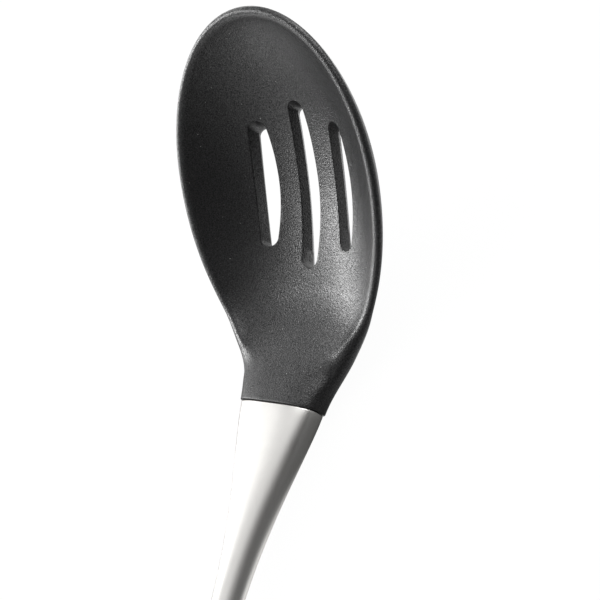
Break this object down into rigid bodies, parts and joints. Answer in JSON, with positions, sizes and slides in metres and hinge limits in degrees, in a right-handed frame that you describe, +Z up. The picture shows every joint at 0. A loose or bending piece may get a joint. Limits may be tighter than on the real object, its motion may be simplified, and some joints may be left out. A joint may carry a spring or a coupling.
{
  "type": "slotted serving spoon",
  "caption": "Slotted serving spoon: deep oval nylon bowl with long drain slots on a cranked neck, set in a waisted hollow steel handle with a hanging eye.",
  "frame": {"origin": "on the table, under the middle of the spoon's bounding box", "axes": "+X along the handle towards the bowl's tip, +Z up out of the bowl, Y across; the X-Z plane is the plane of symmetry"},
  "size_m": [0.3218, 0.0694, 0.0659],
  "materials": {
    "nylon": "satin black moulded nylon with a fine grain",
    "satin_steel": "satin brushed stainless steel",
    "resin": "cured bonding resin"
  },
  "bodies": {
    "root": {"nylon_head": "nylon", "tang_bond": "resin", "handle_front_shell": "satin_steel", "handle_back_shell": "satin_steel", "hanging_eye": "satin_steel"}
  },
  "joints": []
}
